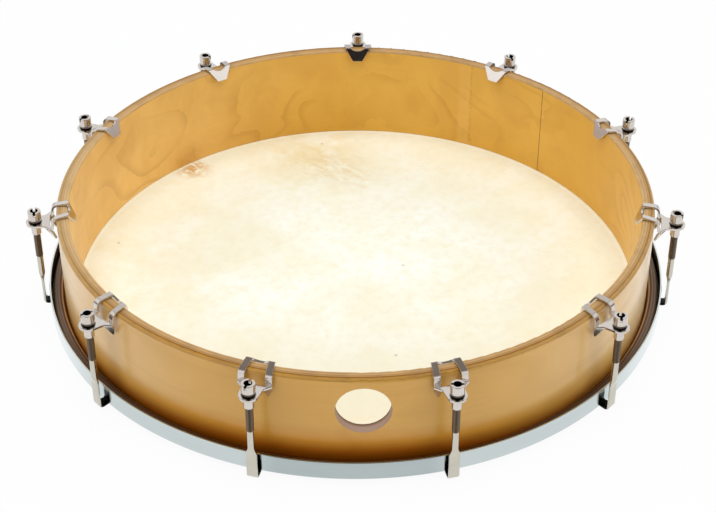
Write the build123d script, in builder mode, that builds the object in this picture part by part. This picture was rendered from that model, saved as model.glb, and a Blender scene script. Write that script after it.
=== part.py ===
from build123d import *
import os
from math import asin, atan2, cos, hypot, radians, sin, sqrt, tan

# Single-headed frame drum with a rod-tuned natural skin, in millimetres, +Z up.
# It lies on its playing face: z = 0 is the outer face of the skin, the origin is on the drum's axis,
# the open rim is on top, and the thumb hole is at the front, towards -Y.

# Bent plywood shell
shell_diameter = 500.0
shell_height = 89.5
shell_wall = 10.0
rim_outer_round = 3.0
rim_inner_round = 1.5
bearing_round = 3.5
bearing_inner_round = 1.0
thumb_hole_diameter = 42.0
thumb_hole_drop = 29.4
thumb_hole_turn = 1.8
thumb_hole_round = 0.8

# Skin, laid over the bearing edge and lapped round the flesh hoop
skin_thickness = 0.7
skin_wall_clearance = 0.1
skin_rise_angle = 26.0
lap_end_angle = 205.0
lap_clearance = 0.05
tuck_clearance = 0.3

# Flesh hoop, a round wooden rod bent to a ring
flesh_hoop_thickness = 8.4

# Counter hoop, an angle ring of steel strip
hoop_thickness = 1.5
hoop_height = 17.4
hoop_flange_width = 5.1
hoop_bend_radius = 3.0
hoop_lip_round = 0.5
hoop_side_clearance = 0.9
hoop_seat_clearance = 0.05

# Tension sets: bracket, slotted nut and hook bolt, spread evenly from the back, clockwise from above
set_count = 11
rod_offset = 5.1

# Hook bolt
thread_diameter = 6.0
thread_length = 40.5
shank_diameter = 5.3
blade_width = 8.6
blade_thickness = 2.0
blade_length = 24.0
blade_flare = 7.0
blade_edge_round = 0.6
hook_bend_radius = 2.0
hook_rise_angle = 8.0
hook_reach = 4.6
hook_seat_clearance = 0.08
bolt_end_chamfer = 0.6

# Slotted nut
nut_head_diameter = 10.8
nut_head_height = 7.0
nut_cone_height = 3.6
nut_foot_diameter = 9.4
nut_stem_diameter = 8.0
nut_stem_length = 9.6
nut_edge_round = 0.4
nut_slot_width = 2.0
nut_slot_depth = 3.0
nut_slot_directions = (20, 110, 60, 140, 88, -2, 68, 29, 100, 45, 160)
thread_clearance = 0.05
bolt_end_depth = 4.5

# Rim bracket, stamped and folded from one piece of steel strip
bracket_thickness = 1.8
bracket_width = 26.4
window_width = 16.6
window_inner_width = 13.0
window_scoop = 2.4
window_corner_round = 1.2
tab_clearance = 0.3
tab_lean = 25.0
tab_length = 12.0
tab_top_width = 22.6
tab_foot_width = 9.0
tab_foot_round = 1.2
arm_slope = 10.0
arm_clearance = 0.1
arm_standoff = 2.4
arm_bend_radius = 4.2
eye_drop = 7.8
eye_diameter = 15.2
eye_bend_radius = 0.5
eye_clearance = 0.08
cross_bar_margin = 1.4
neck_width = 16.8
fold_run = 4.6
strut_length = 15.0
strut_tip_inset = 1.0
strut_shoulder_length = 3.3
strut_shoulder_flare = 1.2
strut_tip_round = 0.8
strut_tip_clearance = 0.15

# Shell levels and radii
shell_radius = shell_diameter / 2
shell_inner_radius = shell_radius - shell_wall
shell_bottom = skin_thickness
rim_level = shell_bottom + shell_height

# The skin turns about the bearing edge, rises to the flesh hoop and laps round it
bearing_centre = (shell_radius + skin_wall_clearance - bearing_round, shell_bottom + bearing_round)
bearing_outer = bearing_round + skin_thickness
lap_inner = flesh_hoop_thickness / 2 + lap_clearance
lap_outer = lap_inner + skin_thickness
flesh_hoop_radius = shell_radius + tuck_clearance + lap_outer
rise_sine = sin(radians(skin_rise_angle))
rise_cosine = cos(radians(skin_rise_angle))
lap_advance = flesh_hoop_radius - bearing_centre[0]
lap_climb = (lap_inner - bearing_round + lap_advance * rise_sine) / rise_cosine
lap_centre = (flesh_hoop_radius, bearing_centre[1] + lap_climb)

# The counter hoop's flange presses on the lap where the skin meets it
hoop_inner_radius = flesh_hoop_radius + lap_outer + hoop_side_clearance
hoop_radius = hoop_inner_radius + hoop_thickness
flange_top = lap_centre[1] - lap_outer * rise_cosine - hoop_seat_clearance
hoop_bottom = flange_top - hoop_thickness
hoop_top = hoop_bottom + hoop_height
flange_radius = hoop_radius - hoop_flange_width

# Each bolt's toe lies under the hoop, and its bend is the lowest part of the bolt
rod_radius = hoop_radius + rod_offset
toe_radius = hoop_radius - hook_reach
half_blade = blade_thickness / 2
hook_mid_radius = hook_bend_radius + half_blade
hook_sine = sin(radians(hook_rise_angle))
hook_cosine = cos(radians(hook_rise_angle))
hook_axis_radius = rod_radius - hook_mid_radius
bend_end_radius = hook_axis_radius - hook_mid_radius * hook_sine
toe_climb = (bend_end_radius - toe_radius) * tan(radians(hook_rise_angle)) + half_blade / hook_cosine
hook_axis_level = hoop_bottom - hook_seat_clearance - toe_climb + hook_mid_radius * hook_cosine
bolt_bottom = hook_axis_level - hook_mid_radius - half_blade
toe_length = (bend_end_radius - toe_radius) / hook_cosine
blade_top = bolt_bottom + blade_length
flare_top = blade_top + blade_flare

# The bracket's eye carries the nut, and the nut carries the bolt
eye_top = rim_level - eye_drop
eye_bottom = eye_top - bracket_thickness
half_sheet = bracket_thickness / 2
nut_shoulder = eye_top + nut_cone_height
nut_top = nut_shoulder + nut_head_height
bolt_top = nut_top - bolt_end_depth
thread_bottom = bolt_top - thread_length

os.makedirs("parts", exist_ok=True)

# Shell: a ring of bent plywood, rounded over at the open rim and at the bearing edge
turn_sine = sin(radians(thumb_hole_turn))
turn_cosine = cos(radians(thumb_hole_turn))
thumb_hole_plane = Plane(origin=(0, 0, 0), x_dir=(turn_cosine, turn_sine, 0), z_dir=(turn_sine, -turn_cosine, 0))
with BuildPart() as shell:
    with BuildSketch(Plane.XZ) as wall:
        with Locations((shell_inner_radius, shell_bottom)):
            Rectangle(shell_wall, shell_height, align=(Align.MIN, Align.MIN))
        fillet(wall.vertices().group_by(Axis.X)[0].sort_by(Axis.Y)[0], bearing_inner_round)
        fillet(wall.vertices().group_by(Axis.X)[0].sort_by(Axis.Y)[-1], rim_inner_round)
        fillet(wall.vertices().group_by(Axis.X)[-1].sort_by(Axis.Y)[0], bearing_round)
        fillet(wall.vertices().group_by(Axis.X)[-1].sort_by(Axis.Y)[-1], rim_outer_round)
    revolve(axis=Axis.Z)
    with BuildSketch(thumb_hole_plane):
        with Locations((0, rim_level - thumb_hole_drop)):
            Circle(thumb_hole_diameter / 2)
    extrude(amount=shell_diameter, mode=Mode.SUBTRACT)
    thumb_hole_wall = shell.faces().filter_by(GeomType.CYLINDER).filter_by(
        lambda face: abs(face.radius - thumb_hole_diameter / 2) < bearing_inner_round
    )
    fillet(thumb_hole_wall.edges().filter_by(lambda edge: edge.length > thumb_hole_diameter), thumb_hole_round)
shell.part.label = "shell"
export_step(shell.part, "parts/shell.step")

# Skin: a stretched disc that rolls over the bearing edge, passes under the flesh hoop, laps up its outside
# and ends tucked between the flesh hoop and the shell
rise_start = skin_rise_angle - 90
with BuildPart() as skin:
    with BuildSketch(Plane.XZ):
        with BuildLine():
            lap_arc_size = lap_end_angle - rise_start
            outer_disc = Line((0, 0), (bearing_centre[0], 0))
            outer_roll = CenterArc(bearing_centre, bearing_outer, -90, skin_rise_angle)
            outer_lap = CenterArc(lap_centre, lap_outer, rise_start, lap_arc_size)
            Line(outer_roll @ 1, outer_lap @ 0)
            inner_lap = CenterArc(lap_centre, lap_inner, lap_end_angle, -lap_arc_size)
            Line(outer_lap @ 1, inner_lap @ 0)
            inner_roll = CenterArc(bearing_centre, bearing_round, rise_start, -skin_rise_angle)
            Line(inner_lap @ 1, inner_roll @ 0)
            inner_disc = Line(inner_roll @ 1, (0, skin_thickness))
            Line(inner_disc @ 1, outer_disc @ 0)
        make_face()
    revolve(axis=Axis.Z)
skin.part.label = "skin"
export_step(skin.part, "parts/skin.step")

# Flesh hoop: the ring that the skin is lapped on
with BuildPart() as flesh_hoop:
    with BuildSketch(Plane.XZ):
        with Locations(lap_centre):
            Circle(flesh_hoop_thickness / 2)
    revolve(axis=Axis.Z)
flesh_hoop.part.label = "flesh_hoop"
export_step(flesh_hoop.part, "parts/flesh_hoop.step")

# Counter hoop: a band with a rolled-in flange that bears on the lapped skin
with BuildPart() as counter_hoop:
    with BuildSketch(Plane.XZ) as angle_section:
        with BuildLine():
            Polyline(
                (flange_radius, hoop_bottom),
                (hoop_radius, hoop_bottom),
                (hoop_radius, hoop_top),
                (hoop_inner_radius, hoop_top),
                (hoop_inner_radius, flange_top),
                (flange_radius, flange_top),
                close=True,
            )
        make_face()
        fillet(angle_section.vertices().group_by(Axis.Y)[-1], hoop_lip_round)
        fillet(angle_section.vertices().group_by(Axis.Y)[1].sort_by(Axis.X)[-1], hoop_bend_radius - hoop_thickness)
        fillet(angle_section.vertices().group_by(Axis.Y)[0].sort_by(Axis.X)[-1], hoop_bend_radius)
    revolve(axis=Axis.Z)
counter_hoop.part.label = "counter_hoop"
export_step(counter_hoop.part, "parts/counter_hoop.step")

# Rim bracket, made on the +X side. The pull of the bolt tips it outwards: two arms slope down over the rim on
# either side of a window, and the tab inside the shell leans away from the wall. Below the arms the sheet runs
# out to an eye, and two struts folded down from its slanted edges bear on the outside of the shell.
half_width = bracket_width / 2
top_half = tab_top_width / 2
arm_middle = shell_radius + arm_standoff + half_sheet
eye_middle = eye_top - half_sheet
plate_start = arm_middle + eye_bend_radius + half_sheet
window_outer = arm_middle + half_sheet + cross_bar_margin

# The arms rest on the rim's outer round, the tab clears its inner round, and the two meet at the rim fold
lean_sine = sin(radians(tab_lean))
lean_cosine = cos(radians(tab_lean))
slope_sine = sin(radians(arm_slope))
slope_cosine = cos(radians(arm_slope))
outer_round_centre = (shell_radius - rim_outer_round, rim_level - rim_outer_round)
inner_round_centre = (sqrt((shell_inner_radius + rim_inner_round) ** 2 - top_half**2), rim_level - rim_inner_round)
arm_offset = rim_outer_round + arm_clearance + half_sheet
arm_reach = outer_round_centre[0] * slope_sine + outer_round_centre[1] * slope_cosine + arm_offset
tab_offset = rim_inner_round + tab_clearance + half_sheet
tab_reach = inner_round_centre[0] * lean_cosine - inner_round_centre[1] * lean_sine - tab_offset
meeting = lean_cosine * slope_cosine + lean_sine * slope_sine
rim_fold_radius = (tab_reach * slope_cosine + arm_reach * lean_sine) / meeting
rim_fold_level = (arm_reach * lean_cosine - tab_reach * slope_sine) / meeting
arm_end_level = (arm_reach - arm_middle * slope_sine) / slope_cosine
flare_end = arm_middle - half_sheet

# The fold line of one strut, and the tilt that brings its tip to the shell
fold_start = Vector(plate_start, half_width, eye_middle)
fold_end = Vector(plate_start + fold_run, neck_width / 2, eye_middle)
fold_length = (fold_end - fold_start).length
fold_direction = (fold_end - fold_start).normalized()
fold_inward = Vector(fold_direction.Y, -fold_direction.X, 0)
tip_root = fold_start + fold_direction * strut_tip_inset
tip_approach = tip_root.X * fold_inward.X + tip_root.Y * fold_inward.Y
tip_aside_squared = tip_root.X**2 + tip_root.Y**2 - tip_approach**2
tip_travel = -tip_approach - sqrt((shell_radius + strut_tip_clearance) ** 2 - tip_aside_squared)
strut_tilt = asin(tip_travel / hypot(strut_length, half_sheet)) - atan2(half_sheet, strut_length)
strut_normal = fold_inward * -cos(strut_tilt) + Vector(0, 0, -sin(strut_tilt))

tab_plane = Plane(
    origin=(rim_fold_radius, 0, rim_fold_level), x_dir=(0, 1, 0), z_dir=(-lean_cosine, 0, lean_sine)
)

with BuildPart() as rim_bracket:
    with BuildSketch(Plane.XZ):
        with BuildLine():
            FilletPolyline(
                (rim_fold_radius, rim_fold_level),
                (arm_middle, arm_end_level),
                (arm_middle, eye_middle),
                (window_outer, eye_middle),
                radius=(arm_bend_radius + half_sheet, eye_bend_radius + half_sheet),
            )
        trace(line_width=bracket_thickness)
    extrude(amount=half_width, both=True)
    with BuildSketch(Plane.XY.offset(eye_bottom)):
        with BuildLine():
            Polyline(
                (plate_start, -half_width),
                (fold_end.X, -neck_width / 2),
                (rod_radius, -eye_diameter / 2),
                (rod_radius, eye_diameter / 2),
                (fold_end.X, neck_width / 2),
                (plate_start, half_width),
                close=True,
            )
        make_face()
        with Locations((rod_radius, 0)):
            Circle(eye_diameter / 2)
    extrude(amount=bracket_thickness)
    with BuildSketch(Plane(origin=fold_start, z_dir=fold_direction)):
        Circle(half_sheet)
    fold = extrude(amount=fold_length)
    mirror(fold, about=Plane.XZ)
    with BuildSketch(Plane(origin=fold_start, x_dir=fold_direction, z_dir=strut_normal)) as strut_outline:
        with BuildLine():
            Polyline(
                (0, 0),
                (fold_length, 0),
                (strut_tip_inset, strut_length),
                (-strut_shoulder_flare, strut_shoulder_length),
                close=True,
            )
        make_face()
        fillet(strut_outline.vertices().sort_by(Axis.Y)[-1], strut_tip_round)
    strut = extrude(amount=half_sheet, both=True)
    mirror(strut, about=Plane.XZ)
    with BuildSketch(Plane(origin=(rim_fold_radius, -top_half, rim_fold_level), z_dir=(0, 1, 0))):
        Circle(half_sheet)
    extrude(amount=tab_top_width)
    with BuildSketch(tab_plane) as tab_outline:
        with BuildLine():
            Polyline(
                (-top_half, 0),
                (top_half, 0),
                (tab_foot_width / 2, tab_length),
                (-tab_foot_width / 2, tab_length),
                close=True,
            )
        make_face()
        fillet(tab_outline.vertices().group_by(Axis.Y)[-1], tab_foot_round)
    extrude(amount=half_sheet, both=True)
    with BuildSketch(tab_plane):
        with BuildLine():
            scoop_half = window_inner_width / 2
            scoop = ThreePointArc((-scoop_half, 0), (0, window_scoop), (scoop_half, 0))
            Polyline(scoop @ 1, (scoop_half, -bracket_thickness), (-scoop_half, -bracket_thickness), scoop @ 0)
        make_face()
    extrude(amount=bracket_thickness, both=True, mode=Mode.SUBTRACT)
    with BuildSketch(Plane.XY.offset(eye_bottom)) as openings:
        with BuildLine():
            Polyline(
                (rim_fold_radius + half_sheet, -window_inner_width / 2),
                (window_outer, -window_width / 2),
                (window_outer, window_width / 2),
                (rim_fold_radius + half_sheet, window_inner_width / 2),
                close=True,
            )
        make_face()
        fillet(openings.vertices().group_by(Axis.X)[-1], window_corner_round)
        with Locations((rod_radius, 0)):
            Circle(nut_stem_diameter / 2 + eye_clearance)
        with BuildLine():
            Polyline(
                (rim_fold_radius - bracket_thickness, top_half),
                (rim_fold_radius, top_half),
                (flare_end, half_width),
                (rim_fold_radius - bracket_thickness, half_width),
                close=True,
            )
        flare_trim = make_face()
        mirror(flare_trim, about=Plane.XZ)
    extrude(amount=rim_fold_level + bracket_thickness - eye_bottom, mode=Mode.SUBTRACT)

# Hook bolt, made on the +X side: a rolled M6 thread, a plain shank and a flattened blade bent in to a toe
with BuildPart() as hook_bolt:
    with BuildLine(Plane.XZ) as blade_path:
        Line((rod_radius, blade_top), (rod_radius, hook_axis_level))
        bend = CenterArc((hook_axis_radius, hook_axis_level), hook_mid_radius, 0, -90 - hook_rise_angle)
        PolarLine(bend @ 1, toe_length, direction=bend % 1)
    with BuildSketch(Plane.XY.offset(blade_top)) as blade_section:
        with Locations((rod_radius, 0)):
            RectangleRounded(blade_thickness, blade_width, blade_edge_round)
    sweep(path=blade_path.line)
    add(blade_section.sketch)
    with BuildSketch(Plane.XY.offset(flare_top)):
        with Locations((rod_radius, 0)):
            Circle(shank_diameter / 2)
    loft()
    with BuildSketch(Plane.XY.offset(flare_top)):
        with Locations((rod_radius, 0)):
            Circle(shank_diameter / 2)
    extrude(amount=thread_bottom - flare_top)
    with BuildSketch(Plane.XY.offset(thread_bottom)):
        with Locations((rod_radius, 0)):
            Circle(thread_diameter / 2)
    extrude(amount=thread_length)
    chamfer(hook_bolt.faces().sort_by(Axis.Z)[-1].edges(), bolt_end_chamfer)

# Slotted nut, made on the drum's axis: a head on a tapered foot, and a stem through the bracket's eye
with BuildPart() as tension_nut:
    with BuildSketch(Plane.XZ) as nut_section:
        with BuildLine():
            bore_radius = thread_diameter / 2 + thread_clearance
            stem_bottom = eye_bottom - nut_stem_length
            Polyline(
                (bore_radius, stem_bottom),
                (nut_stem_diameter / 2, stem_bottom),
                (nut_stem_diameter / 2, eye_top),
                (nut_foot_diameter / 2, eye_top),
                (nut_head_diameter / 2, nut_shoulder),
                (nut_head_diameter / 2, nut_top),
                (bore_radius, nut_top),
                close=True,
            )
        make_face()
        top_corner = nut_section.vertices().group_by(Axis.Y)[-1].sort_by(Axis.X)[-1]
        stem_corner = nut_section.vertices().group_by(Axis.Y)[0].sort_by(Axis.X)[-1]
        fillet((top_corner, stem_corner), nut_edge_round)
    revolve(axis=Axis.Z)
    with BuildSketch(Plane.XY.offset(nut_top)):
        Rectangle(2 * nut_head_diameter, nut_slot_width)
    extrude(amount=-nut_slot_depth, mode=Mode.SUBTRACT)

# One bracket, bolt and nut at each station
for station in range(set_count):
    bearing = 90 - station * 360 / set_count
    station_name = f"{station + 1:02d}"
    slot_direction = nut_slot_directions[station % len(nut_slot_directions)]
    rod_place = (rod_radius * cos(radians(bearing)), rod_radius * sin(radians(bearing)), 0)
    with BuildPart() as placed_bracket:
        add(rim_bracket.part, rotation=(0, 0, bearing))
    placed_bracket.part.label = f"rim_bracket_{station_name}"
    export_step(placed_bracket.part, f"parts/rim_bracket_{station_name}.step")
    with BuildPart() as placed_bolt:
        add(hook_bolt.part, rotation=(0, 0, bearing))
    placed_bolt.part.label = f"hook_bolt_{station_name}"
    export_step(placed_bolt.part, f"parts/hook_bolt_{station_name}.step")
    with BuildPart() as placed_nut:
        with Locations(Location(rod_place, (0, 0, slot_direction))):
            add(tension_nut.part)
    placed_nut.part.label = f"tension_nut_{station_name}"
    export_step(placed_nut.part, f"parts/tension_nut_{station_name}.step")
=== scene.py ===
from math import cos, pi, radians, sin, tan

import bpy
from mathutils import Matrix, Vector


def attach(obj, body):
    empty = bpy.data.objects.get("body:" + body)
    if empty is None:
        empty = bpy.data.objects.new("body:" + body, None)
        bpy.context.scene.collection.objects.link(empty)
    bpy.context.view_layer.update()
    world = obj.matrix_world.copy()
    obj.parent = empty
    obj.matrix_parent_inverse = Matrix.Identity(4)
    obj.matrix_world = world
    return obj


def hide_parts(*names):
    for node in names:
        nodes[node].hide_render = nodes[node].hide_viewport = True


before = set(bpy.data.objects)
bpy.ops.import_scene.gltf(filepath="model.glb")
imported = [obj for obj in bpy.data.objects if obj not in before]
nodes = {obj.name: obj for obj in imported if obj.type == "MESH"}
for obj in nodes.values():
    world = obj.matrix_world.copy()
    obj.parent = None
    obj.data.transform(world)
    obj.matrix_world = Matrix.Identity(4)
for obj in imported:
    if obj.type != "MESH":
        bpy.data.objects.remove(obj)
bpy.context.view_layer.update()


# Shell: a ring of bent birch plywood under a clear satin lacquer, with the plies bare at the rounded rim
# and in the thumb hole. The veneer's fibres run round the ring, and the face veneer meets in upright joints.
shell_outside = 0.250
shell_wall = 0.010
rim_level = 0.0902
rim_outer_round = 0.0030
rim_inner_round = 0.0015
faint_joint_at = radians(26.9)
open_joint_at = radians(45.6)
pale_strip_at = radians(25.2)
hoop_shade_height = 0.05


class Tone:
    """One socket of a finish; arithmetic on it adds the nodes that do it."""

    def __init__(self, tree, socket=None):
        self.tree = tree
        self.socket = socket

    def node(self, kind, settings, sockets, output=0):
        made = self.tree.nodes.new(kind)
        for key, value in settings.items():
            if key == "stops":
                stops = made.color_ramp.elements
                stops.remove(stops[1])
                stops[0].position, stops[0].color = value[0]
                for position, tint in value[1:]:
                    stops.new(position).color = tint
            else:
                setattr(made, key, value)
        for key, value in sockets.items():
            if isinstance(value, Tone):
                self.tree.links.new(value.socket, made.inputs[key])
            else:
                made.inputs[key].default_value = value
        return Tone(self.tree, made.outputs[output] if made.outputs else None)

    def also(self, output):
        return Tone(self.tree, self.socket.node.outputs[output])

    def math(self, operation, first, second=0.0):
        return self.node("ShaderNodeMath", {"operation": operation}, {0: first, 1: second})

    def __add__(self, other):
        return self.math("ADD", self, other)

    def __sub__(self, other):
        return self.math("SUBTRACT", self, other)

    def __rsub__(self, other):
        return self.math("SUBTRACT", other, self)

    def __mul__(self, other):
        return self.math("MULTIPLY", self, other)

    def __truediv__(self, other):
        return self.math("DIVIDE", self, other)

    def __pow__(self, other):
        return self.math("POWER", self, other)

    def __abs__(self):
        return self.math("ABSOLUTE", self)

    __radd__ = __add__
    __rmul__ = __mul__


def colour(red, green, blue):
    """A colour given as it looks on screen, 0 to 255, as the light values that a finish takes."""
    light = [((v / 255 + 0.055) / 1.055) ** 2.4 if v > 10 else v / 255 / 12.92 for v in (red, green, blue)]
    return (*light, 1.0)


def start_finish(name):
    material = bpy.data.materials.new(name)
    material.use_nodes = True
    material.node_tree.nodes.clear()
    return material, Tone(material.node_tree)


def close_finish(start, sockets):
    surface = start.node("ShaderNodeBsdfPrincipled", {}, sockets)
    start.node("ShaderNodeOutputMaterial", {}, {"Surface": surface})


def fade(value, low, high):
    """0 below low, 1 above high, and a soft step between; low may be the larger."""
    limits = {"Value": value, "From Min": low, "From Max": high}
    return value.node("ShaderNodeMapRange", {"interpolation_type": "SMOOTHSTEP"}, limits)


def blend(amount, first, second):
    return amount.node("ShaderNodeMix", {"data_type": "RGBA"}, {0: amount, 6: first, 7: second}, 2)


def clouds(place, per_metre, detail=2.0, roughness=0.5, distortion=0.0):
    """Soft noise about 0.5, with its own number of features to the metre along each axis."""
    stretched = place.node("ShaderNodeVectorMath", {"operation": "MULTIPLY"}, {0: place, 1: per_metre})
    shape = {
        "Vector": stretched,
        "Scale": 1.0,
        "Detail": detail,
        "Roughness": roughness,
        "Distortion": distortion,
    }
    return place.node("ShaderNodeTexNoise", {}, shape)


def spot(place, centre, reach):
    """1 at a point, falling to 0 at its reach."""
    away = place.node("ShaderNodeVectorMath", {"operation": "DISTANCE"}, {0: place, 1: centre}, "Value")
    return fade(away, reach, 0.0)


plywood, start = start_finish("lacquered_birch_plywood")
place = start.node("ShaderNodeTexCoord", {}, {}, "Object")
across = place.node("ShaderNodeSeparateXYZ", {}, {0: place}, "X")
along = across.also("Y")
height = across.also("Z")
radius = (across * across + along * along) ** 0.5
facing = start.node("ShaderNodeNewGeometry", {}, {}, "Normal")
facing_x = facing.node("ShaderNodeSeparateXYZ", {}, {0: facing}, "X")
outward = (facing_x * across + facing_x.also("Y") * along) / radius

inside = fade(outward, -0.3, -0.7)
bearing = across.math("ARCTAN2", across, along)
fibre = clouds(place, (14, 14, 520), 4.0, 0.6)
figure = clouds(place, (4.5, 4.5, 15), 1.0, 0.4, 0.7)
contour = abs(figure.math("FRACT", figure * 7.0) - 0.5) * 2.0
contour = fade(contour, 0.35, 1.0) * fade(clouds(place, (7, 7, 10)), 0.40, 0.62)
swirl = clouds(place, (10, 10, 15), 1.5, 0.35, 0.6) + clouds(place, (150, 150, 110), 2.0) * 0.03
rings = swirl.math("FRACT", swirl * 7.0)
rings = fade(rings, 0.50, 0.97) * fade(clouds(place, (13, 13, 16), 2.0), 0.36, 0.66)
blotches = clouds(place, (16, 16, 11), 5.0, 0.66, 0.4)
drift = clouds(place, (3.2, 3.2, 7), 2.0)
inner_face = blend(fade(drift, 0.3, 0.7), colour(224, 170, 54), colour(236, 186, 80))
# Painted light: the inner wall is painted lighter towards the left side, where the side light falls on it.
inner_face = blend(fade(across, -0.02, -0.20) * 0.45, inner_face, colour(252, 208, 136))
outer_face = blend(fade(drift, 0.3, 0.7), colour(223, 167, 72), colour(231, 177, 84))
# Painted sheen: the outer face is painted lighter towards both sides, and lighter still near the right edge,
# where the lacquer's sheen shows.
outer_face = blend(fade(abs(across), 0.08, 0.25) * 0.55, outer_face, colour(255, 220, 158))
outer_face = blend(fade(across, 0.20, 0.248) * 0.6, outer_face, colour(255, 230, 188))
veneer = blend(inside, outer_face, inner_face)
veneer = blend(fade(fibre, 0.35, 0.75) * (0.09 - inside * 0.05), veneer, colour(190, 138, 34))
veneer = blend(contour * (1 - inside) * 0.16, veneer, colour(186, 134, 36))
veneer = blend(fade(blotches, 0.40, 0.64) * (0.10 + inside * 0.18), veneer, colour(206, 146, 58))
veneer = blend(rings * inside * 0.28, veneer, colour(184, 124, 34))
pale_strip = fade(abs(bearing - pale_strip_at), 0.034, 0.014) * fade(blotches, 0.80, 0.40) * inside
veneer = blend(pale_strip * 0.4, veneer, colour(246, 202, 112))
glue_stain = spot(place, (-0.1583, 0.1804, 0.004), 0.034) * fade(blotches, 0.30, 0.56) * inside
veneer = blend(glue_stain * 0.45, veneer, colour(176, 112, 24))
chips = clouds(place, (70, 70, 190), 4.0, 0.7)
faint_joint = fade(abs(bearing - faint_joint_at) + chips * 0.008, 0.0090, 0.0042)
faint_joint = faint_joint * fade(chips, 0.40, 0.62) * inside
veneer = blend(faint_joint * 0.55, veneer, colour(170, 112, 34))
open_joint = fade(abs(bearing - open_joint_at) + chips * 0.0026, 0.0038, 0.0018) * inside
veneer = blend(open_joint * 0.85, veneer, colour(104, 56, 12))
# Painted shade: the lacquered outer face darkens towards the counter hoop, for the shade in the gap under its
# lip. The dark band reaches highest at the front and lower towards the sides, and the coat is thinned in the
# same band.
hoop_shade_level = height + fade(across, 0.03, 0.16) * 0.011 + fade(across, -0.05, -0.18) * 0.004
hoop_shade_level = (hoop_shade_level + fade(abs(across), 0.20, 0.245) * 0.012) / hoop_shade_height
hoop_shade_tint = hoop_shade_level.node(
    "ShaderNodeValToRGB",
    {
        "stops": (
            (0.22, (0.38, 0.16, 0.005, 1.0)),
            (0.32, (0.50, 0.26, 0.01, 1.0)),
            (0.42, (0.74, 0.39, 0.12, 1.0)),
            (0.51, (0.85, 0.61, 0.31, 1.0)),
            (0.61, (0.97, 0.78, 0.42, 1.0)),
            (0.70, (0.98, 0.86, 0.62, 1.0)),
            (0.80, (0.97, 0.91, 0.84, 1.0)),
            (0.92, (1.0, 1.0, 1.0, 1.0)),
        )
    },
    {0: hoop_shade_level},
)
hoop_shade_mask = fade(radius, 0.2450, 0.2499)
darken = {"data_type": "RGBA", "blend_type": "MULTIPLY"}
veneer = hoop_shade_mask.node("ShaderNodeMix", darken, {0: hoop_shade_mask, 6: veneer, 7: hoop_shade_tint}, 2)
over_outer = radius.math("GREATER_THAN", radius, shell_outside - rim_outer_round)
over_inner = radius.math("LESS_THAN", radius, shell_outside - shell_wall + rim_inner_round)
corner_level = rim_level - rim_outer_round * over_outer - rim_inner_round * over_inner
rim_up = height.math("MAXIMUM", height - corner_level, 0.0)
outer_reach = height.math("MAXIMUM", rim_outer_round**2 - rim_up * rim_up, 0.0) ** 0.5
inner_reach = height.math("MAXIMUM", rim_inner_round**2 - rim_up * rim_up, 0.0) ** 0.5
ply_radius = radius.math("MINIMUM", radius, shell_outside - rim_outer_round) + over_outer * outer_reach
ply_depth = (ply_radius - (shell_outside - shell_wall)) / shell_wall
plies = ply_depth.node(
    "ShaderNodeValToRGB",
    {
        "stops": (
            (0.00, colour(206, 166, 110)),
            (0.20, colour(194, 156, 106)),
            (0.24, colour(150, 114, 70)),
            (0.28, colour(194, 158, 108)),
            (0.44, colour(188, 150, 100)),
            (0.48, colour(136, 100, 56)),
            (0.53, colour(184, 144, 88)),
            (0.60, colour(174, 130, 70)),
            (0.67, colour(120, 78, 26)),
            (0.75, colour(146, 102, 40)),
            (0.84, colour(188, 140, 62)),
        )
    },
    {0: ply_depth},
)
plies = blend(fade(clouds(place, (60, 60, 300), 3.0), 0.4, 0.75) * 0.3, plies, colour(120, 90, 60))
# The bare plies are painted paler towards both sides, and more so on the left.
plies_paler_at_sides = fade(abs(across), 0.12, 0.24) * 0.15 + fade(across, -0.20, -0.245) * 0.2
plies = blend(plies_paler_at_sides, plies, colour(210, 186, 142))
rim = fade(height, 0.0878, 0.0884)
bare_edge = rim.math("MAXIMUM", rim, fade(abs(outward), 0.80, 0.50) * fade(height, 0.0878, 0.0874))
hole_wall = blend(fade(ply_depth, 0.02, 0.5), colour(104, 70, 46), colour(176, 148, 130))
plies = blend(fade(height, 0.087, 0.083), plies, hole_wall)
wood = blend(bare_edge, veneer, plies)
rim_out = over_outer * outer_reach - over_inner * inner_reach
rim_top = 1 - over_outer - over_inner
section_facing = rim_out.node(
    "ShaderNodeCombineXYZ",
    {},
    {0: across / radius * rim_out, 1: along / radius * rim_out, 2: rim_up + rim_top},
)
to_world = {"vector_type": "NORMAL", "convert_from": "OBJECT", "convert_to": "WORLD"}
section_facing = section_facing.node("ShaderNodeVectorTransform", to_world, {0: section_facing})
on_rim = height.math("GREATER_THAN", height, rim_level - rim_outer_round - 0.0005)
either_facing = {0: on_rim, 4: facing, 5: section_facing}
rim_facing = on_rim.node("ShaderNodeMix", {"data_type": "VECTOR"}, either_facing, 1)
rim_facing = rim_facing.node("ShaderNodeVectorMath", {"operation": "NORMALIZE"}, {0: rim_facing})
fibre_relief = {"Strength": 0.12, "Distance": 0.0004, "Height": fibre, "Normal": rim_facing}
close_finish(
    start,
    {
        "Base Color": wood,
        "Roughness": 0.34 + fibre * 0.14 + bare_edge * 0.2,
        "Specular IOR Level": 0.2,
        "Coat Weight": fade(outward, 0.3, 0.7) * fade(hoop_shade_level, 0.25, 0.6) * 0.8 + inside * 0.3,
        "Coat Roughness": 0.22,
        "Normal": fibre.node("ShaderNodeBump", {}, fibre_relief),
    },
)
nodes["shell"].material_slots[0].material = plywood


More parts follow.
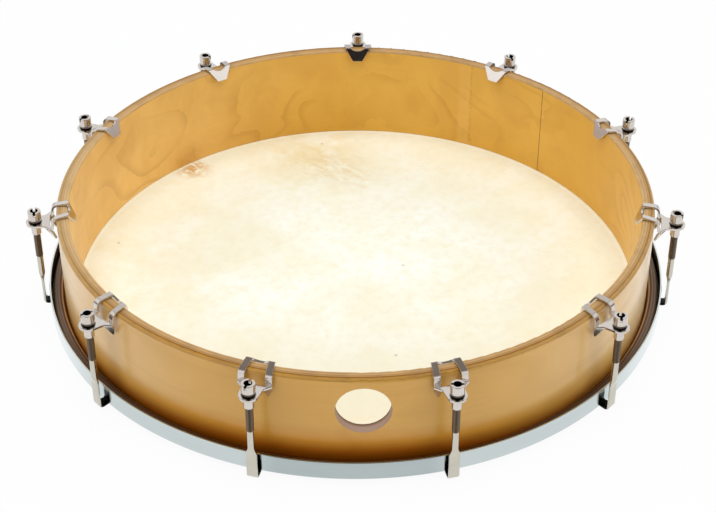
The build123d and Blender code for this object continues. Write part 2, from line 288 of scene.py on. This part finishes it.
# Skin: a natural hide soaked, stretched over the shell's bearing edge, lapped round the flesh hoop and
# tucked down between the hoop and the shell, where its cut edge dries a little uneven.
skin_thickness = 0.0007
bearing_centre = (0.2466, 0.0042)
bearing_inner = 0.0035
rise_angle = radians(26.0)
lap_centre = (0.25525, 0.0092533)
lap_inner = 0.00425
lap_end = radians(205.0)
lap_end_drift = radians(9.0)
pleat_height = 0.00022
flat_rows = (0.0, 0.06, 0.12, 0.18, 0.22, 0.24)
bearing_rows = 8
lap_rows = 32
turns = 540


def smooth_piece(name, points, faces):
    mesh = bpy.data.meshes.new(name)
    mesh.from_pydata(points, [], faces)
    mesh.polygons.foreach_set("use_smooth", [True] * len(faces))
    piece = bpy.data.objects.new(name, mesh)
    bpy.context.collection.objects.link(piece)
    return piece


def revolve_mesh(name, outline, steps):
    """A mesh turned about the Z axis.

    outline(angle) gives each section's radii and heights, from axis to axis.
    """
    inner = outline(0.0)[1:-1]
    count = len(inner)
    points = [(0.0, 0.0, outline(0.0)[0][1]), (0.0, 0.0, outline(0.0)[-1][1])]
    faces = []
    for step in range(steps):
        angle = 2 * pi * step / steps
        points += [(r * cos(angle), r * sin(angle), z) for r, z in outline(angle)[1:-1]]
    for step in range(steps):
        here, beyond = 2 + step * count, 2 + (step + 1) % steps * count
        faces.append((0, beyond, here))
        faces += [(here + k, beyond + k, beyond + k + 1, here + k + 1) for k in range(count - 1)]
        faces.append((1, here + count - 1, beyond + count - 1))
    return smooth_piece(name, points, faces)


def hide_section(angle):
    """The hide's outer face from the drum's axis to the cut edge, and its inner face back again."""
    pleat = pleat_height * (0.5 + 0.25 * sin(61 * angle + 2 * sin(7 * angle)) + 0.25 * sin(38 * angle + 1.0))
    end = lap_end + lap_end_drift * (0.6 * sin(5 * angle + 0.7) + 0.4 * sin(13 * angle + 2.1))
    faces = []
    for gap in (skin_thickness, 0.0):
        side = [(r, bearing_centre[1] - bearing_inner - gap) for r in flat_rows]
        for k in range(bearing_rows + 1):
            turn = -pi / 2 + rise_angle * k / bearing_rows
            reach = bearing_inner + gap
            side.append((bearing_centre[0] + reach * cos(turn), bearing_centre[1] + reach * sin(turn)))
        for k in range(lap_rows + 1):
            share = k / lap_rows
            turn = (rise_angle - pi / 2) * (1 - share) + end * share
            reach = lap_inner + gap + pleat * min(1.0, 3 * share) * min(1.0, 4 * (1 - share) + 0.3)
            side.append((lap_centre[0] + reach * cos(turn), lap_centre[1] + reach * sin(turn)))
        faces.append(side)
    return faces[0] + faces[1][::-1]


skin = revolve_mesh("hide", hide_section, turns)

hide, start = start_finish("natural_hide")
place = start.node("ShaderNodeTexCoord", {}, {}, "Object")
across = place.node("ShaderNodeSeparateXYZ", {}, {0: place}, "X")
along = across.also("Y")
radius = (across * across + along * along) ** 0.5
mottle = clouds(place, (16, 16, 16), 5.0, 0.62, 0.5)
grain = clouds(place, (190, 190, 190), 4.0, 0.65)
veins = clouds(place, (42, 30, 30), 5.0, 0.7, 1.2)
shade = fade(radius, 0.05, 0.21)
tan_areas = spot(place, (-0.045, 0.200, 0), 0.085) + spot(place, (-0.17, 0.02, 0), 0.12) * 0.2
stain = fade(clouds(place, (95, 95, 95), 3.0, 0.7, 1.0), 0.38, 0.56)
stain = stain * spot(place, (-0.1562, 0.1696, 0), 0.024)
cream = blend(fade(mottle, 0.36, 0.62), colour(249, 255, 249), colour(246, 249, 233))
cream = blend(fade(veins, 0.45, 0.75) * 0.25, cream, colour(236, 228, 192))
cream = blend(fade(clouds(place, (9, 9, 9), 3.0), 0.48, 0.70) * 0.3, cream, colour(236, 232, 205))
pores = fade(clouds(place, (120, 120, 120), 3.0, 0.7), 0.44, 0.66)
cream = blend(pores * 0.3, cream, colour(234, 230, 204))
# Painted shade: the hide is painted a darker cream towards its edge, leaving the middle brightest.
cream = blend(shade * 0.25, cream, colour(244, 243, 216))
# Painted shade: the hide is painted darker towards the front, beside the front wall.
cream = blend(fade(along, -0.03, -0.15) * 0.6, cream, colour(232, 230, 206))
cream = blend(fade(mottle, 0.38, 0.62) * tan_areas * 0.5, cream, colour(230, 212, 158))
streak_run = Vector((0.771, -0.637))
streak_along = across * streak_run.x + along * streak_run.y
streak_over = along * streak_run.x - across * streak_run.y
streak_place = start.node("ShaderNodeCombineXYZ", {}, {0: streak_along, 1: streak_over * 2.0})
streaks = fade(clouds(streak_place, (60, 60, 60), 5.0, 0.72, 0.9), 0.36, 0.66)
streaks = streaks * spot(streak_place, (-0.1357, 0.2364, 0), 0.085)
cream = blend(streaks * 0.62, cream, colour(220, 200, 140))
cream = blend(stain * 0.9, cream, colour(212, 160, 66))
for fleck in ((-0.0347, 0.2154, 0), (-0.2128, 0.0469, 0), (0.0417, 0.0145, 0), (0.0339, -0.1109, 0)):
    cream = blend(spot(place, fleck, 0.0022) * 0.6, cream, colour(126, 96, 66))
fleck_cells = {"Vector": place, "Scale": 26.0, "Randomness": 1.0}
fleck_field = start.node("ShaderNodeTexVoronoi", {}, fleck_cells, "Distance")
fleck_chance = fade(clouds(place, (21, 21, 21)), 0.60, 0.66)
cream = blend(fade(fleck_field, 0.045, 0.02) * fleck_chance * 0.35, cream, colour(160, 128, 92))
lap_width = 0.0105
lap_depth = (radius - shell_outside) / lap_width
# The lap's colours are partly soil and partly painted shade in the narrow gap between the shell and the
# counter hoop. The bright band a quarter of the way out is a painted highlight, and the lap is painted darker
# still at the front, as painted shade.
lap_dirt_and_shade = lap_depth.node(
    "ShaderNodeValToRGB",
    {
        "stops": (
            (0.05, colour(110, 62, 26)),
            (0.18, colour(132, 84, 46)),
            (0.24, colour(255, 214, 158)),
            (0.30, colour(120, 88, 62)),
            (0.42, colour(92, 74, 62)),
            (0.50, colour(150, 128, 110)),
            (0.60, colour(104, 88, 76)),
            (0.72, colour(146, 128, 114)),
            (0.90, colour(74, 62, 54)),
        )
    },
    {0: lap_depth},
)
lap_dirt_and_shade = blend(fade(along, -0.09, -0.16) * 0.8, lap_dirt_and_shade, colour(70, 42, 18))
cream = blend(fade(lap_depth, 0.0, 0.05), cream, lap_dirt_and_shade)
# Painted light: the hide glows faintly towards its edge and most in a thin line at the bearing edge, though
# it is no lamp.
bearing_glow_line = fade(radius, 0.2360, 0.2395) * fade(radius, 0.2430, 0.2405)
hide_glow = bearing_glow_line + fade(radius, 0.11, 0.22) * fade(radius, 0.2430, 0.2405) * 0.28
grain_relief = {"Strength": 0.18, "Distance": 0.0005, "Height": grain}
close_finish(
    start,
    {
        "Base Color": cream,
        "Roughness": 0.42 + grain * 0.2,
        "Specular IOR Level": 0.35,
        "Emission Color": blend(hide_glow, (0.0, 0.0, 0.0, 1.0), (0.12, 0.115, 0.075, 1.0)),
        "Emission Strength": 1.0,
        "Normal": grain.node("ShaderNodeBump", {}, grain_relief),
    },
)
skin.data.materials.append(hide)
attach(skin, "drum")
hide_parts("skin")


# Flesh hoop: a round rod of bare beech bent to a ring. The hide's edge is lapped round it, so that the
# counter hoop has something to draw on, and the lap covers it.
beech, start = start_finish("bare_beech")
place = start.node("ShaderNodeTexCoord", {}, {}, "Object")
fibre = clouds(place, (30, 30, 900), 4.0, 0.6)
close_finish(
    start,
    {
        "Base Color": blend(fibre, colour(158, 116, 72), colour(196, 154, 104)),
        "Roughness": 0.6 + fibre * 0.2,
    },
)
nodes["flesh_hoop"].material_slots[0].material = beech


# Counter hoop: an angle of steel strip rolled to a ring and plated bright, drawn down over the lapped hide.
# The plating is a mirror with a little haze and a few long hairlines round the ring.
hoop_outside = 0.2626
hoop_strip = 0.0015
hoop_bottom = 0.0032543
hoop_top = 0.0206543
flange_inside = 0.2575
hoop_bend = 0.0030
hoop_lip = 0.0005
flat_margin = 0.0003
edge_break = 0.0001
bend_parts = 12
lip_parts = 5
inner_bend_parts = 8


def arc_points(centre, reach, start_angle, end_angle, parts):
    """Points of an arc in a section, its two ends among them."""
    angles = [start_angle + (end_angle - start_angle) * k / parts for k in range(parts + 1)]
    return [(centre[0] + reach * cos(a), centre[1] + reach * sin(a)) for a in angles]


def hoop_section():
    """Round the angle strip: flange, outer bend, band, rolled lip, and back down the inside."""
    bend_at = (hoop_outside - hoop_bend, hoop_bottom + hoop_bend)
    band_inside = hoop_outside - hoop_strip
    flange_top = hoop_bottom + hoop_strip
    lip_level = hoop_top - hoop_lip
    section = [(flange_inside + edge_break, hoop_bottom), (bend_at[0] - flat_margin, hoop_bottom)]
    section += arc_points(bend_at, hoop_bend, -pi / 2, 0.0, bend_parts)
    section += [(hoop_outside, bend_at[1] + flat_margin), (hoop_outside, lip_level - flat_margin)]
    section += arc_points((hoop_outside - hoop_lip, lip_level), hoop_lip, 0.0, pi / 2, lip_parts)
    section += arc_points((band_inside + hoop_lip, lip_level), hoop_lip, pi / 2, pi, lip_parts)
    section += [(band_inside, lip_level - flat_margin), (band_inside, bend_at[1] + flat_margin)]
    section += arc_points(bend_at, hoop_bend - hoop_strip, 0.0, -pi / 2, inner_bend_parts)
    section += [(bend_at[0] - flat_margin, flange_top), (flange_inside + edge_break, flange_top)]
    section += [(flange_inside, flange_top - edge_break), (flange_inside, hoop_bottom + edge_break)]
    return section


def turned_ring(name, section, steps):
    """A ring turned about the Z axis.

    The section's radii and heights run anticlockwise, seen with the axis on the left.
    """
    count = len(section)
    points, faces = [], []
    for step in range(steps):
        angle = 2 * pi * step / steps
        points += [(r * cos(angle), r * sin(angle), z) for r, z in section]
        here, beyond = step * count, (step + 1) % steps * count
        for k in range(count):
            after = (k + 1) % count
            faces.append((here + k, beyond + k, beyond + after, here + after))
    return smooth_piece(name, points, faces)


hoop = turned_ring("plated_hoop", hoop_section(), turns)

plating, start = start_finish("bright_plating")
place = start.node("ShaderNodeTexCoord", {}, {}, "Object")
hairline = clouds(place, (20, 20, 2600), 3.0, 0.6)
haze = clouds(place, (12, 12, 60), 3.0)
from_middle = abs(place.node("ShaderNodeSeparateXYZ", {}, {0: place}, "X"))
# Painted reflection: the plating's colour is darker across the front, for the shadowed floor that it mirrors
# there, and lighter towards the sides, for the bright room.
plating_reflection_tint = blend(haze, colour(166, 177, 179), colour(182, 192, 193))
plating_reflection_tint = blend(fade(from_middle, 0.055, 0.085), plating_reflection_tint, blend(haze, colour(192, 202, 202), colour(206, 214, 214)))
close_finish(
    start,
    {
        "Base Color": blend(fade(from_middle, 0.19, 0.25), plating_reflection_tint, colour(226, 234, 236)),
        "Metallic": 1.0,
        "Roughness": 0.07 + haze * 0.08 + fade(hairline, 0.62, 0.8) * 0.12,
    },
)
hoop.data.materials.append(plating)
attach(hoop, "drum")
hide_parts("counter_hoop")


# Rim brackets: stamped and folded steel, tumbled and nickel plated, hooked over the rim.
# Nuts: turned from bar with a screwdriver slot, the same plating.
set_count = 11
rod_radius = 0.2677
eye_top = 0.0824


def distance_from_rods(place):
    """How far a point lies from the nearest hook bolt's axis, and its height.

    The ring of bolts is folded into one sector, so that one sum serves them all.
    """
    across = place.node("ShaderNodeSeparateXYZ", {}, {0: place}, "X")
    along = across.also("Y")
    sector = 2 * pi / set_count
    turn = across.math("ARCTAN2", across, along) / sector
    aside = (turn - turn.math("ROUND", turn)) * sector
    reach = (across * across + along * along) ** 0.5
    off_axis = reach * aside.math("COSINE", aside) - rod_radius
    off_side = reach * aside.math("SINE", aside)
    return (off_axis * off_axis + off_side * off_side) ** 0.5, across.also("Z")


nickel, start = start_finish("tumbled_nickel")
place = start.node("ShaderNodeTexCoord", {}, {}, "Object")
tumble = clouds(place, (340, 340, 340), 3.0, 0.55)
haze = clouds(place, (60, 60, 60), 3.0)
from_rod, height = distance_from_rods(place)
# Painted shade: the nut's bore is painted near black, and so is a ring round the nut's foot where it sits on
# the eye plate.
bore_shade = fade(from_rod, 0.0034, 0.0031)
nut_foot_shade = fade(from_rod, 0.0062, 0.0050) * fade(abs(height - eye_top - 0.0004), 0.0017, 0.0007)
worn_edge = start.node("ShaderNodeBevel", {"samples": 6}, {"Radius": 0.0005})
tumble_relief = {"Strength": 0.06, "Distance": 0.0003, "Height": tumble, "Normal": worn_edge}
plate = blend(haze, colour(203, 195, 188), colour(220, 214, 207))
plate = blend(nut_foot_shade * 0.9, plate, colour(30, 26, 24))
close_finish(
    start,
    {
        "Base Color": blend(bore_shade, plate, colour(30, 26, 23)),
        "Metallic": 1.0,
        "Roughness": 0.10 + haze * 0.10 + bore_shade * 0.3,
        "Normal": tumble.node("ShaderNodeBump", {}, tumble_relief),
    },
)
for number in range(1, set_count + 1):
    nodes[f"rim_bracket_{number:02d}"].material_slots[0].material = nickel
    nodes[f"tension_nut_{number:02d}"].material_slots[0].material = nickel


# Hook bolts: a rolled M6 thread left oily and dark, a bright plain shank, and the rod's end forged flat
# to a blade that is bent in under the counter hoop. Each hangs in its nut, which draws it up as it turns.
thread_radius = 0.0030
thread_depth = 0.00061
thread_pitch = 0.001
thread_bottom = 0.0480
bolt_top = 0.0885
end_chamfer = 0.0006
shank_radius = 0.00265
flare_top = 0.0312523
blade_top = 0.0242523
blade_half = (0.001, 0.0043)
blade_round = 0.0006
hook_level = 0.0042523
hook_radius = 0.003
hook_rise = radians(8.0)
toe_length = 0.00634
toe_chamfer = ((0.0, 0.0004), (0.00015, 0.00015), (0.0004, 0.0))
thread_run_out = 0.0004
lead_in_slope = 0.6
lead_in_step = 0.0001
side_points = 32
bend_rows = 12
blade_rows = 4
flare_rows = 10
rows_per_pitch = 8


def round_ring(reach):
    angles = [2 * pi * k / side_points for k in range(side_points)]
    return [(reach * cos(a), reach * sin(a)) for a in angles]


def oblong(shrink=0.0):
    """The blade's section: as many points as the round ring has, spread over its corners and sides."""
    half_x, half_y = blade_half[0] - shrink, blade_half[1] - shrink
    corner = min(blade_round, half_x * 0.98)
    centres = ((1, 1), (-1, 1), (-1, -1), (1, -1))
    ring = []
    for quarter, (sx, sy) in enumerate(centres):
        cx, cy = sx * (half_x - corner), sy * (half_y - corner)
        arc = [quarter * pi / 2 + k * pi / 8 for k in range(5)]
        ring += [(cx + corner * cos(a), cy + corner * sin(a)) for a in arc]
        nx, ny = centres[(quarter + 1) % 4]
        last = ring[-1]
        turn = (quarter + 1) * pi / 2
        first = (nx * (half_x - corner) + corner * cos(turn), ny * (half_y - corner) + corner * sin(turn))
        for k in (1, 2, 3):
            ring.append((last[0] + (first[0] - last[0]) * k / 4, last[1] + (first[1] - last[1]) * k / 4))
    return ring[-2:] + ring[:-2]


def hook_bolt_mesh():
    """Rings of points from the toe, round the bend and up the blade, shank and thread."""
    rings = []
    bend_end = -pi / 2 - hook_rise
    end = Vector((hook_radius * cos(bend_end) - hook_radius, hook_level + hook_radius * sin(bend_end)))
    run = Vector((-cos(hook_rise), sin(hook_rise)))

    def lay(point, turn, flat):
        """A ring set across the path in the XZ plane; turn is the way that the path's outer side faces."""
        out = Vector((cos(turn), sin(turn)))
        rings.append([(point.x + u * out.x, v, point.y + u * out.y) for u, v in flat])

    for back, shrink in toe_chamfer:
        lay(end + run * (toe_length - back), bend_end, oblong(shrink))
    lay(end + run * toe_length * 0.5, bend_end, oblong())
    centre = Vector((-hook_radius, hook_level))
    for k in range(bend_rows + 1):
        turn = bend_end * (1 - k / bend_rows)
        lay(centre + Vector((cos(turn), sin(turn))) * hook_radius, turn, oblong())
    for k in range(1, blade_rows + 1):
        lay(Vector((0.0, hook_level + (blade_top - hook_level) * k / blade_rows)), 0.0, oblong())
    flat, full = oblong(), round_ring(shank_radius)
    for k in range(1, flare_rows + 1):
        share = k / flare_rows
        ease = share * share * (3 - 2 * share)
        shape = [(a[0] + (b[0] - a[0]) * ease, a[1] + (b[1] - a[1]) * ease) for a, b in zip(flat, full)]
        lay(Vector((0.0, blade_top + (flare_top - blade_top) * share)), 0.0, shape)
    lay(Vector((0.0, thread_bottom - thread_run_out)), 0.0, full)
    count = round((bolt_top - thread_bottom) / thread_pitch * rows_per_pitch)
    for row in range(count + 1):
        level = thread_bottom + (bolt_top - thread_bottom) * row / count
        ring = []
        for k in range(side_points):
            phase = ((level - thread_bottom) / thread_pitch - k / side_points) % 1.0
            tooth = min(1.0, max(0.0, 1.25 - 2.5 * abs(phase - 0.5)))
            reach = thread_radius - thread_depth * (1 - tooth)
            reach = min(reach, thread_radius - end_chamfer + (bolt_top - level))
            reach = min(reach, shank_radius + lead_in_slope * (level - thread_bottom) + lead_in_step)
            ring.append((reach * cos(2 * pi * k / side_points), reach * sin(2 * pi * k / side_points)))
        lay(Vector((0.0, level)), 0.0, ring)
    points = [point for ring in rings for point in ring]
    faces = [tuple(range(side_points))[::-1]]
    for row in range(len(rings) - 1):
        for k in range(side_points):
            nxt = (k + 1) % side_points
            low, high = row * side_points, (row + 1) * side_points
            faces.append((low + k, low + nxt, high + nxt, high + k))
    faces.append(tuple(range(len(points) - side_points, len(points))))
    mesh = bpy.data.meshes.new("hook_bolt")
    mesh.from_pydata(points, [], faces)
    mesh.polygons.foreach_set("use_smooth", [len(face) == 4 for face in faces])
    return mesh


bright_rod, start = start_finish("bright_rod")
place = start.node("ShaderNodeTexCoord", {}, {}, "Object")
away = place.node("ShaderNodeSeparateXYZ", {}, {0: place}, "X")
height = away.also("Z")
threaded = fade(height, thread_bottom - 0.0006, thread_bottom + 0.0003)
haze = clouds(place, (90, 90, 90), 3.0)
steel = blend(haze, colour(190, 185, 172), colour(212, 208, 196))
thread = blend(threaded, steel, colour(126, 112, 96))
# Painted shade: the hook's inner side under the counter hoop and the bolt's top end down in the nut's bore
# are painted near black.
hook_inside_shade = fade(away, -0.0002, -0.0009) * fade(height, 0.0135, 0.0100)
shade_black = colour(24, 21, 18)
rod = blend(hook_inside_shade, thread, shade_black)
close_finish(
    start,
    {
        "Base Color": blend(fade(height, bolt_top - 0.0010, bolt_top - 0.0004), rod, shade_black),
        "Metallic": 1.0,
        "Roughness": 0.12 + haze * 0.10 + threaded * 0.16,
    },
)
bolt_mesh = hook_bolt_mesh()
bolt_mesh.materials.append(bright_rod)
for number in range(1, set_count + 1):
    bearing = radians(90 - (number - 1) * 360 / set_count)
    bolt = bpy.data.objects.new(f"threaded_hook_{number:02d}", bolt_mesh)
    bpy.context.collection.objects.link(bolt)
    bolt.matrix_world = Matrix.Rotation(bearing, 4, "Z") @ Matrix.Translation((rod_radius, 0, 0))
    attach(bolt, f"bolt_{number:02d}")
    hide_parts(f"hook_bolt_{number:02d}")


# Floor: a plain white sweep that the drum lies on; it shows white to the camera and in the plating,
# and keeps the drum's soft shadow.
floor_half = 6.0
floor_drop = 0.0002
floor_corners = [(x * floor_half, y * floor_half, 0) for x, y in ((-1, -1), (1, -1), (1, 1), (-1, 1))]
floor_mesh = bpy.data.meshes.new("floor")
floor_mesh.from_pydata(floor_corners, [], [(0, 1, 2, 3)])
floor = bpy.data.objects.new("floor", floor_mesh)
bpy.context.collection.objects.link(floor)
floor.location.z = -floor_drop
white_sweep, start = start_finish("white_sweep")
ray = start.node("ShaderNodeLightPath", {}, {}, "Is Camera Ray")
mirrored = ray.math("MAXIMUM", ray.also("Is Glossy Ray"), ray.also("Is Transmission Ray"))
seen = ray.math("MAXIMUM", ray, mirrored)
paper = start.node("ShaderNodeBsdfDiffuse", {}, {"Color": colour(236, 240, 243)})
glow = start.node("ShaderNodeEmission", {}, {"Color": (1.0, 1.0, 1.0, 1.0), "Strength": 1.0})
lifted = start.node("ShaderNodeMixShader", {}, {0: seen * 0.94, 1: paper, 2: glow})
start.node("ShaderNodeOutputMaterial", {}, {"Surface": lifted})
floor_mesh.materials.append(white_sweep)


# Studio: a large soft lamp overhead in a pale room, with white panels on both sides of the camera and the
# unlit end of the room behind it, which the plating shows as black.
world = bpy.data.worlds.new("white_room")
bpy.context.scene.world = world
world.use_nodes = True
world.node_tree.nodes.clear()
start = Tone(world.node_tree)
ray = start.node("ShaderNodeLightPath", {}, {}, "Is Camera Ray")
around = start.node("ShaderNodeTexCoord", {}, {}, "Generated")
aside = around.node("ShaderNodeSeparateXYZ", {}, {0: around}, "X")
ahead = aside.also("Y")
up = aside.also("Z")
forward = 0.0 - ahead / (aside * aside + ahead * ahead) ** 0.5
horizon = blend(fade(forward, 0.3, -0.3), (1.0, 1.0, 1.0, 1.0), colour(208, 204, 208))
room = blend(fade(up, 0.12, 0.34), horizon, (1.0, 1.0, 1.0, 1.0))
room = blend(fade(up, 0.66, 0.80), room, colour(138, 130, 124))
slits = fade(abs(forward), 0.10, 0.06) * fade(up, 0.80, 0.70)
room = blend(slits, room, colour(50, 46, 46))
panels = fade(forward, 0.10, 0.25) * fade(forward, 0.80, 0.70) * fade(up, 0.72, 0.60)
room = blend(panels, room, (1.25, 1.25, 1.25, 1.0))
dark_end = fade(forward, 0.84, 0.92) * fade(up, 0.70, 0.58)
room = blend(dark_end, room, colour(44, 40, 40))
shown = blend(ray, room, (1.0, 1.0, 1.0, 1.0))
surroundings = start.node("ShaderNodeBackground", {}, {"Color": shown, "Strength": 1.0})
start.node("ShaderNodeOutputWorld", {}, {"Surface": surroundings})

lamp = bpy.data.lights.new("overhead", "AREA")
lamp.shape = "RECTANGLE"
lamp.size, lamp.size_y = 1.6, 1.2
lamp.energy = 19.5
lamp_holder = bpy.data.objects.new("overhead", lamp)
bpy.context.collection.objects.link(lamp_holder)
lamp_holder.location = (0.0, -0.05, 1.7)
lamp_holder.rotation_euler = (-lamp_holder.location).to_track_quat("-Z", "Y").to_euler()
lamp_holder.visible_glossy = False


# Camera: 1.4 m from the drum on the thumb hole's side and about 33 degrees above the rim, looking down into
# the open back. A slight tilt, pan and swing give the framing.
camera_offset = Vector((0.0, -1.1910, 0.7883))
camera_tilt = radians(-2.254)
camera_pan = radians(0.078)
camera_swing = radians(0.484)
camera_data = bpy.data.cameras.new("camera")
camera_data.sensor_width = 36.0
camera_data.lens = 85.17
camera = bpy.data.objects.new("camera", camera_data)
bpy.context.collection.objects.link(camera)
sight = -camera_offset.normalized()
camera_up = Vector((0.0, -sight.z, sight.y))
sight = (sight + tan(camera_tilt) * camera_up + tan(camera_pan) * Vector((1, 0, 0))).normalized()
swing = Matrix.Rotation(camera_swing, 4, "Z")
camera.location = swing @ camera_offset + Vector((0, 0, rim_level))
camera.rotation_euler = (swing @ sight).to_track_quat("-Z", "Y").to_euler()
bpy.context.scene.camera = camera
bpy.context.scene.view_settings.view_transform = "Standard"
